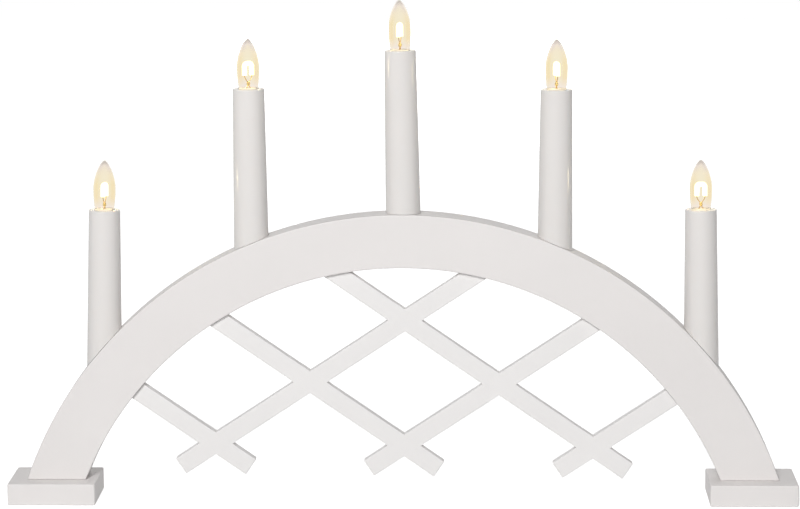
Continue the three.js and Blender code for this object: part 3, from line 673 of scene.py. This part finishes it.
class BRIDGE_OT_arch(bpy.types.Operator):
    """Paint the arch board, with its wiring groove, mortises and candle holes"""

    bl_idname = "candle_bridge.arch"
    bl_label = "Arch Board"
    NEAR = 0.0002
    SCREW_ROOM = 0.004
    ARRIS_ANGLE = math.radians(30)
    ROUND_STEPS = 3

    def execute(self, context):
        mesh = node_copy("arch_board")
        self.ease_legs(mesh)
        mesh = smooth(mesh, 40)
        weigh_normals(dress("arch_painted", mesh, satin_paint, BRIDGE, "painted_wood", "arch_board"))
        return {"FINISHED"}

    def ease_legs(self, mesh):
        """Rounds the arrises of the legs' ends where they stand on the feet, clear of the screw holes."""
        size = sizes()
        screws = []
        for number in SCREWS:
            low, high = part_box(f"foot_screw_{number}")
            screws.append((Vector(low) + Vector(high)) / 2)
        work = bmesh.new()
        work.from_mesh(mesh)

        def stands(vert):
            return abs(vert.co.z - size.foot_height) < self.NEAR

        def clear(edge):
            middle = (edge.verts[0].co + edge.verts[1].co) / 2
            return all((middle - screw).xy.length > self.SCREW_ROOM for screw in screws)

        low_edges = [edge for edge in work.edges if all(stands(vert) for vert in edge.verts)]
        arrises = [
            edge for edge in low_edges if edge.calc_face_angle(0) > self.ARRIS_ANGLE and clear(edge)
        ]
        bmesh.ops.bevel(
            work, geom=arrises, offset=size.leg_round, segments=self.ROUND_STEPS, profile=0.5, affect="EDGES"
        )
        work.to_mesh(mesh)
        work.free()


class BRIDGE_OT_feet(bpy.types.Operator):
    """Paint the foot blocks and plate the screws under them"""

    bl_idname = "candle_bridge.feet"
    bl_label = "Feet and Screws"

    def execute(self, context):
        for side in ("left", "right"):
            node = f"foot_{side}"
            mesh = softened(node, 50)
            weigh_normals(dress(f"{node}_painted", mesh, satin_paint, BRIDGE, "painted_wood", node))
        for number in SCREWS:
            node = f"foot_screw_{number}"
            dress(f"{node}_plated", softened(node), zinc_plate, BRIDGE, "zinc_steel", node)
        return {"FINISHED"}


class BRIDGE_OT_lattice(bpy.types.Operator):
    """Make the lattice slats, halved into one another and let into the arch"""

    bl_idname = "candle_bridge.lattice"
    bl_label = "Lattice"
    ROUND_STEPS = 3
    CRISP_SHARE = 0.05  # of a slat's round, left where others cross it
    TAPER = 6  # rounds long, from crisp to soft

    def execute(self, context):
        size = sizes()
        low = size.foot_height + size.lattice_rise
        top = size.arch_radius - size.arch_band - size.arch_drop - size.lattice_drop
        depth = size.slat_setback + size.slat_thickness / 2 - size.arch_thickness / 2
        place = Vector((size.lattice_shift, depth, (low + top) / 2))
        middle = Matrix.Translation(place) @ Matrix.Rotation(size.lattice_tilt, 4, "Y")
        row = (top - low) / 2
        slats = [(side, run) for side in (-1, 1) for run in (-1, 0, 1)]
        step = row / math.sin(size.slat_angle)
        for side, run in slats:
            kind = "falling" if side < 0 else "rising"
            node = f"slat_{kind}_{run + 2}"
            crossed = [
                (other, start) for other, start in slats
                if other != side and (run >= start if side < 0 else start >= run)
            ]
            crossings = sorted(abs(run - start) * step for _, start in crossed)
            mesh = self.bar(self.spot(middle, row, side, run), crossings)
            notch = (0, size.slat_thickness) if side < 0 else (-size.slat_thickness, 0)
            cutters = [self.block(self.spot(middle, row, *slat), notch) for slat in crossed]
            mesh = smooth(carved(mesh, cutters))
            weigh_normals(dress(f"{node}_painted", mesh, lattice_paint, BRIDGE, "painted_wood", node))
        return {"FINISHED"}

    def spot(self, middle, row, side, run):
        """A slat's frame at its lowest crossing, with +X up the slat, and how far up it reaches."""
        size = sizes()
        pitch = 2 * row / math.tan(size.slat_angle)
        climb = Vector((side * math.cos(size.slat_angle), 0, math.sin(size.slat_angle)))
        across = climb.cross(Vector((0, 1, 0)))
        turn = Matrix((climb, Vector((0, 1, 0)), across)).transposed().to_4x4()
        frame_at = middle @ Matrix.Translation((run * pitch, 0, -row)) @ turn
        inner = size.arch_radius - size.arch_band - size.arch_inner_rise
        drop = size.arch_drop - size.arch_inner_rise
        reach = height_on_circle(frame_at.translation, frame_at.col[0].to_3d(), inner, drop)
        return frame_at, reach + size.slat_tenon

    def block(self, spot, depths):
        """The room that a slat takes up between two depths."""
        size = sizes()
        frame_at, end = spot
        half = size.slat_width / 2
        return cuboid((-size.slat_tail, depths[0], -half), (end, depths[1], half), frame_at)

    def bar(self, spot, crossings):
        """A slat with softened edges, left crisp where others cross it."""
        size = sizes()
        frame_at, end = spot
        soft = size.slat_round
        crisp, taper = soft * self.CRISP_SHARE, soft * self.TAPER
        between = 2 * size.slat_angle
        zone = soft + size.slat_width / 2 * (1 + math.cos(between)) / math.sin(between)
        turns = angles(QUARTER_TURN, self.ROUND_STEPS)
        stations = [
            (soft * (1 - math.sin(t)) - size.slat_tail, soft, soft * math.cos(t)) for t in reversed(turns)
        ]
        for centre in crossings:
            stations += [(centre - zone - taper, soft, soft), (centre - zone, crisp, crisp)]
            stations += [(centre + zone, crisp, crisp), (centre + zone + taper, soft, soft)]
        stations.append((end, soft, soft))

        def section(along, inset, radius):
            radius = max(radius, crisp)
            deep, wide = size.slat_thickness / 2 - inset, size.slat_width / 2 - inset
            corners = [(deep, wide), (-deep, wide), (-deep, -wide), (deep, -wide)]
            return [
                frame_at @ Vector((along, y + radius * math.cos(t), z + radius * math.sin(t)))
                for quarter, (y, z) in enumerate(corners)
                for t in [quarter * QUARTER_TURN + turn for turn in turns]
            ]

        rings = [section(*station) for station in stations]
        caps = [[frame_at @ Vector((along, 0, 0))] for along in (-size.slat_tail, end)]
        return ring_mesh([caps[0], *rings, caps[1]])


class BRIDGE_OT_tubes(bpy.types.Operator):
    """Mould the candle tubes, with their feet cut to the arch's slope"""

    bl_idname = "candle_bridge.tubes"
    bl_label = "Candle Tubes"
    SIDES = 96
    ROUND_STEPS = 5
    FOOT_TRIES = 6
    SEAT_ROOM = 0.001
    SEAT_SLOPE = 0.0015

    def execute(self, context):
        for number in CANDLES:
            node = f"candle_tube_{number}"
            dress(f"{node}_moulded", self.tube(number), glossy_candle, BRIDGE, "candle_plastic", node)
        return {"FINISHED"}

    def tube(self, number):
        """A tapered tube with a rounded rim, a seat for the lamp holder and a foot on the arch."""
        size = sizes()
        matrix = rim_frame(number)
        full = candle_length(number)
        base_radius = size.arch_thickness / 2 - size.tube_inset
        top_radius = size.tube_top / 2

        def outer(height):
            return top_radius + (base_radius - top_radius) * -height / full

        def foot(turn, inset):
            """Where the tube's side meets the arch, found in a few tries as the tube widens downwards."""
            height = -full
            for _ in range(self.FOOT_TRIES):
                radius = outer(height) - inset
                point = matrix @ Vector((radius * math.cos(turn), radius * math.sin(turn), 0))
                up = matrix.col[2].to_3d()
                height = height_on_circle(point, up, size.arch_radius + size.tube_gap, size.arch_drop)
            return radius, height

        edge = size.tube_round
        rounds = angles(QUARTER_TURN, self.ROUND_STEPS)
        rim = [(top_radius - edge + edge * math.cos(t), edge * math.sin(t) - edge) for t in rounds]
        mouth = size.glass_rim / 2 + size.mouth_gap
        lip = edge / 2
        rim += [(mouth + lip - lip * math.sin(t), lip * math.cos(t) - lip) for t in rounds]
        seat = size.holder_diameter / 2 + size.fit_gap
        shoulder = -size.mouth_depth
        seat_end = shoulder - size.fit_gap - size.holder_length - self.SEAT_ROOM
        wide = seat_end - self.SEAT_SLOPE
        rim += [(mouth, shoulder), (seat, shoulder), (seat, seat_end), (outer(wide) - size.tube_wall, wide)]
        turns = angles(FULL_TURN, self.SIDES)[:-1]

        def ring(profile_point):
            return [
                matrix @ Vector((radius * math.cos(t), radius * math.sin(t), height))
                for t in turns
                for radius, height in [profile_point(t)]
            ]

        rings = [ring(lambda t: foot(t, size.tube_wall)), ring(lambda t: foot(t, 0))]
        rings += [ring(lambda t, point=point: point) for point in rim]
        return smooth(ring_mesh(rings, closed=True))


class BRIDGE_OT_holders(bpy.types.Operator):
    """Make the lamp holders with their threaded shells, and finish the pegs that carry the tubes"""

    bl_idname = "candle_bridge.holders"
    bl_label = "Lamp Holders"
    EDGE = 0.0004
    CONTACT_RADIUS = 0.0024
    CONTACT_DEPTH = 0.003
    SHELL_LIP = 0.0007

    def execute(self, context):
        size = sizes()
        top = -size.mouth_depth - size.fit_gap
        bottom = top - size.holder_length
        floor = top - size.holder_cup
        shell_inner = size.cap_diameter / 2 + size.fit_gap
        shell_outer = shell_inner + size.shell_wall
        cup = shell_outer + size.fit_gap
        radius = size.holder_diameter / 2
        edge = self.EDGE
        contact_floor = floor - self.CONTACT_DEPTH
        holder = [(0, bottom), (radius - edge, bottom), (radius, bottom + edge), (radius, top - edge)]
        holder += [(radius - edge, top), (cup + edge, top), (cup, top - edge), (cup, floor)]
        holder += [(self.CONTACT_RADIUS, floor), (self.CONTACT_RADIUS, contact_floor), (0, contact_floor)]
        shell_top = top - self.SHELL_LIP
        shell = [(shell_inner, floor + size.fit_gap), (shell_outer, floor + size.fit_gap)]
        shell += [(shell_outer, shell_top), (shell_inner, shell_top)]
        for number in CANDLES:
            matrix = rim_frame(number)
            node = f"lamp_holder_{number}"
            dress(f"{node}_moulded", turned(holder, matrix), matte_moulding, BRIDGE, "holder_plastic", node)
            node = f"socket_shell_{number}"
            mesh = turned(shell, matrix, closed=True)
            dress(f"{node}_drawn", mesh, drawn_brass, BRIDGE, "shell_brass", node)
            node = f"candle_peg_{number}"
            dress(f"{node}_moulded", softened(node), matte_moulding, BRIDGE, "holder_plastic", node)
        return {"FINISHED"}


class BRIDGE_OT_lamps(bpy.types.Operator):
    """Blow the lamp glasses, and make their caps, leads, beads, cement and glowing filaments"""

    bl_idname = "candle_bridge.lamps"
    bl_label = "Lamps"
    LAMP_TURNS = {1: 75, 2: 34, 3: 76, 4: 104, 5: 5}
    CAP_WALL = 0.0004
    CAP_FLOOR = 0.0014
    CAP_EDGE = 0.0002
    CAP_SLOPE = 0.001
    THREAD_DEPTH = 0.0003
    THREAD_TURNS = 4
    THREAD_STEPS = 8
    CONTACT_RADIUS = 0.0017
    CONTACT_FLAT = 0.8  # of the contact's radius
    CONTACT_DROPS = (0.0012, 0.0009, 0.0006)  # its flat, its edge and its top below the cap
    NECK_LENGTH = 0.005
    RIM_BULGE = 0.0004
    SHOULDER_SHARE = 0.45  # of the way from the belly to the tip
    TIP_SHARE = 0.42  # of the belly's width
    GLASS_SIDES = 80
    BEND_STEPS = 6
    LEG_STEPS = 6
    BEAD_STEPS = 12
    BEAD_SIDES = 32
    CEMENT_GAP = 0.00003
    CEMENT_SIDE = ((0.0004, -0.0012), (0.0001, -0.0006), (0.0, 0.0), (0.0002, 0.0003))  # inset, height
    CEMENT_TOP = 0.0004
    CEMENT_SIDES = 48
    LEAD_SIDES = 10
    LEAD_APART = 0.6  # of a lead's thickness, from the bead's middle to each lead
    LEAD_END = -0.0008
    LEAD_PULLS = (0.0006, 0.0016, 0.002, 0.003)  # from the cement up to the filament

    def execute(self, context):
        for number in CANDLES:
            matrix = rim_frame(number)
            self.cap(number, matrix)
            self.glass(number, matrix)
            self.filament(number, matrix)
        return {"FINISHED"}

    def neck_radius(self):
        size = sizes()
        return size.cap_diameter / 2 - self.CAP_WALL - size.fit_gap

    def cap(self, number, matrix):
        """A screw cap with thread rings outside and a contact below."""
        size = sizes()
        crest = size.cap_diameter / 2
        depth = self.THREAD_DEPTH
        inner = crest - self.CAP_WALL
        top = -size.mouth_depth
        bottom = top - size.cap_length
        contact = self.CONTACT_RADIUS
        flat, edge, neck = (bottom - drop for drop in self.CONTACT_DROPS)
        profile = [(0, flat), (contact * self.CONTACT_FLAT, flat), (contact, edge)]
        profile += [(contact, neck), (crest - depth - self.CAP_SLOPE, bottom)]
        for i in range(self.THREAD_TURNS * self.THREAD_STEPS + 1):
            turns = i / self.THREAD_STEPS
            wave = math.cos(FULL_TURN * turns)
            profile.append((crest - depth / 2 - depth / 2 * wave, bottom + (0.5 + turns) * size.cap_pitch))
        profile += [(crest, top - self.CAP_EDGE), (crest - self.CAP_EDGE / 2, top), (inner, top)]
        profile += [(inner, bottom + self.CAP_FLOOR), (0, bottom + self.CAP_FLOOR)]
        node = f"lamp_cap_{number}"
        mesh = turned(profile, matrix)
        dress(f"{node}_plated", mesh, nickel_plate, f"lamp_{number}_cap", "cap_nickel", node)

    def glass_side(self, inset):
        """The glass's outline from its neck to its tip, drawn in all round."""
        size = sizes()
        neck = self.neck_radius() - inset
        rim = size.glass_rim / 2 - inset
        belly = size.glass_diameter / 2 - inset
        tip = size.glass_height - 2 * inset
        high = size.glass_belly
        shoulder = high + (tip - high) * self.SHOULDER_SHARE
        points = curve_points(
            (neck, -size.mouth_depth - self.NECK_LENGTH),
            [(neck, -size.mouth_depth + size.fit_gap)],
            [(rim, -size.mouth_depth / 2), (rim, 0)],
            [(rim + self.RIM_BULGE, high / 3), (belly, high / 2), (belly, high)],
            [(belly, shoulder), (belly * self.TIP_SHARE, tip - size.glass_tip_drop), (0, tip)],
        )
        return [(point.x, point.y) for point in points]

    def glass(self, number, matrix):
        profile = self.glass_side(0)
        profile += self.glass_side(sizes().glass_wall)[::-1]
        node = f"lamp_glass_{number}"
        mesh = smooth(turned(profile, matrix, self.GLASS_SIDES, closed=True), 70)
        dress(f"{node}_blown", mesh, clear_lamp_glass, f"lamp_{number}_glass", "lamp_glass", node)

    def filament(self, number, matrix):
        """The bent filament, and what holds it in the glass."""
        size = sizes()
        turned_frame = matrix @ Matrix.Rotation(math.radians(self.LAMP_TURNS[number]), 4, "Z")
        node = f"lamp_filament_{number}"
        body = f"lamp_{number}_glass"
        half = size.filament_spread / 2
        radius = size.filament_diameter / 2
        start = size.filament_bottom
        bend = size.filament_bend
        crown = size.filament_top - radius
        knee = crown - bend
        corners = angles(QUARTER_TURN, self.BEND_STEPS)
        right = [(half - bend + bend * math.sin(t), knee + bend * math.cos(t)) for t in corners]
        right += [(half, knee + (start - knee) * i / self.LEG_STEPS) for i in range(1, self.LEG_STEPS + 1)]
        path = [(-x, z) for x, z in reversed(right)] + right
        mesh = tube_along([turned_frame @ Vector((x, 0, z)) for x, z in path], radius)
        dress(f"{node}_glowing", mesh, glowing_filament, body, "lamp_filament", node)

        middle, tall, wide = size.bead_height, size.bead_length / 2, size.bead_diameter / 2
        turns = angles(math.pi, self.BEAD_STEPS)
        bead = [(wide * math.sin(t), middle - tall * math.cos(t)) for t in turns]
        mesh = smooth(turned(bead, turned_frame, self.BEAD_SIDES), 60)
        dress(f"lamp_bead_{number}", mesh, bead_glass, body, "lamp_filament", node)

        edge = size.glass_rim / 2 - size.glass_wall - self.CEMENT_GAP
        cement = [(edge - inset, height) for inset, height in self.CEMENT_SIDE]
        cement = [(0, cement[0][1]), *cement, (0, self.CEMENT_TOP)]
        mesh = smooth(turned(cement, turned_frame, self.CEMENT_SIDES), 60)
        dress(f"lamp_foot_{number}", mesh, lamp_cement, body, "lamp_filament", node)

        rise, fall, lift, drop = self.LEAD_PULLS
        for side, label in ((-1, "a"), (1, "b")):
            near, low = side * size.lead_diameter * self.LEAD_APART, side * size.lead_spread / 2
            points = curve_points(
                (low, self.LEAD_END),
                [(low, rise), (near, middle - fall), (near, middle)],
                [(near, middle + lift), (side * half, start - drop), (side * half, start)],
            )
            route = [turned_frame @ Vector((point.x, 0, point.y)) for point in points]
            mesh = tube_along(route, size.lead_diameter / 2, self.LEAD_SIDES)
            dress(f"lamp_lead_{number}_{label}", mesh, drawn_brass, body, "lamp_filament", node)


class BRIDGE_OT_wiring(bpy.types.Operator):
    """Finish the wires, clips and cord gland in the groove along the arch's back"""

    bl_idname = "candle_bridge.wiring"
    bl_label = "Wiring"

    def execute(self, context):
        wires = ["wire_supply", "wire_return"]
        wires += [f"wire_link_{number}_{number + 1}" for number in range(1, CANDLE_COUNT)]
        for node in wires:
            dress(f"{node}_insulated", softened(node, 70), soft_insulation, BRIDGE, "wire_insulation", node)
        for node in ["cord_gland", *[f"wire_clip_{number}" for number in CANDLES]]:
            dress(f"{node}_moulded", softened(node), matte_moulding, BRIDGE, "holder_plastic", node)
        return {"FINISHED"}


class BRIDGE_OT_stage(bpy.types.Operator):
    """Set up the floor, the light and the camera"""

    bl_idname = "candle_bridge.stage"
    bl_label = "Stage"
    FLOOR_SIZE = 14.0
    KEY = {"size": 1.05, "distance": 3.65, "direction": (-0.155, -0.88, 0.47)}
    FILL = {"size": 1.0, "distance": 3.6, "direction": (0.0, 0.99, 0.13)}
    TARGET = (0, 0, 0.14)
    SENSOR_WIDTH = 36
    SIGHT = 50

    def execute(self, context):
        stage = context.scene.bridge_stage
        self.floor(stage)
        self.sky(stage)
        self.soft_light("key", stage.key_power, **self.KEY)
        fill = self.soft_light("fill", stage.fill_power, **self.FILL)
        fill.visible_glossy = False
        fill.visible_transmission = False
        self.camera(stage)
        context.scene.view_settings.view_transform = "Standard"
        return {"FINISHED"}

    def floor(self, stage):
        half = self.FLOOR_SIZE / 2
        mesh = bpy.data.meshes.new("floor")
        corners = [(-half, -half, 0), (half, -half, 0), (half, half, 0), (-half, half, 0)]
        mesh.from_pydata(corners, [], [(0, 1, 2, 3)])
        floor = bpy.data.objects.new("floor", mesh)
        bpy.context.scene.collection.objects.link(floor)
        sheet = Sheet("pale_floor")
        tones = sheet.tones(sheet.noise(0.8, 2), (0.86, 0.86, 0.86), (0.88, 0.88, 0.88))
        lift = seen_directly(sheet.tree, stage.floor_lift, 0.0)
        sheet.feed(Base_Color=tones, Emission_Strength=lift)
        sheet.set(Roughness=0.9, Specular_IOR_Level=0.0, Emission_Color=(1, 1, 1, 1))
        plain = sheet.add("ShaderNodeEmission", {"Strength": stage.floor_glow})
        mix = sheet.add("ShaderNodeMixShader")
        sheet.link(seen_directly(sheet.tree, 0.0, 1.0), mix.inputs["Fac"])
        sheet.link(sheet.shader.outputs["BSDF"], mix.inputs[1])
        sheet.link(plain.outputs["Emission"], mix.inputs[2])
        sheet.link(mix.outputs["Shader"], sheet.output.inputs["Surface"])
        mesh.materials.append(sheet.material)

    def sky(self, stage):
        world = bpy.data.worlds.new("studio")
        world.use_nodes = True
        bpy.context.scene.world = world
        tree = world.node_tree
        background = tree.nodes["Background"]
        background.inputs["Color"].default_value = (1, 1, 1, 1)
        tree.links.new(light_level(tree, stage.sky_level, 1.0), background.inputs["Strength"])

    def soft_light(self, name, power, size, distance, direction):
        """A round soft light that faces the middle of the bridge from a direction."""
        data = bpy.data.lights.new(name, "AREA")
        data.shape = "DISK"
        data.size = size
        data.energy = power
        lamp = bpy.data.objects.new(name, data)
        bpy.context.scene.collection.objects.link(lamp)
        target = Vector(self.TARGET)
        lamp.location = target + Vector(direction).normalized() * distance
        lamp.rotation_mode = "QUATERNION"
        lamp.rotation_quaternion = (target - lamp.location).to_track_quat("-Z", "Y")
        return lamp

    def camera(self, stage):
        data = bpy.data.cameras.new("camera")
        data.lens = stage.lens
        data.sensor_width = self.SENSOR_WIDTH
        data.clip_end = self.SIGHT
        camera = bpy.data.objects.new("camera", data)
        bpy.context.scene.collection.objects.link(camera)
        turn = Matrix.Rotation(stage.camera_yaw, 4, "Z")
        turn @= Matrix.Rotation(QUARTER_TURN - stage.camera_pitch, 4, "X")
        turn @= Matrix.Rotation(stage.camera_roll, 4, "Z")
        camera.matrix_world = Matrix.Translation(stage.camera_place) @ turn
        bpy.context.scene.camera = camera


PIECES = (
    BRIDGE_OT_arch,
    BRIDGE_OT_feet,
    BRIDGE_OT_lattice,
    BRIDGE_OT_tubes,
    BRIDGE_OT_holders,
    BRIDGE_OT_lamps,
    BRIDGE_OT_wiring,
    BRIDGE_OT_stage,
)


class BRIDGE_PT_panel(bpy.types.Panel):
    """Lists the pieces of the candle bridge"""

    bl_idname = "BRIDGE_PT_panel"
    bl_label = "Candle Bridge"
    bl_space_type = "VIEW_3D"
    bl_region_type = "UI"
    bl_category = "Candle Bridge"

    def draw(self, context):
        for operator in PIECES:
            self.layout.operator(operator.bl_idname)


SETTINGS = {
    "bridge_sizes": BridgeSizes,
    "bridge_colours": BridgeColours,
    "bridge_stage": BridgeStage,
}
CLASSES = (*SETTINGS.values(), *PIECES, BRIDGE_PT_panel)


def register():
    for made in CLASSES:
        bpy.utils.register_class(made)
    for name, group in SETTINGS.items():
        setattr(bpy.types.Scene, name, bpy.props.PointerProperty(type=group))


def unregister():
    for name in SETTINGS:
        delattr(bpy.types.Scene, name)
    for made in reversed(CLASSES):
        bpy.utils.unregister_class(made)


def main():
    register()
    for operator in PIECES:
        getattr(bpy.ops.candle_bridge, operator.bl_idname.split(".")[1])()


if __name__ == "__main__":
    main()
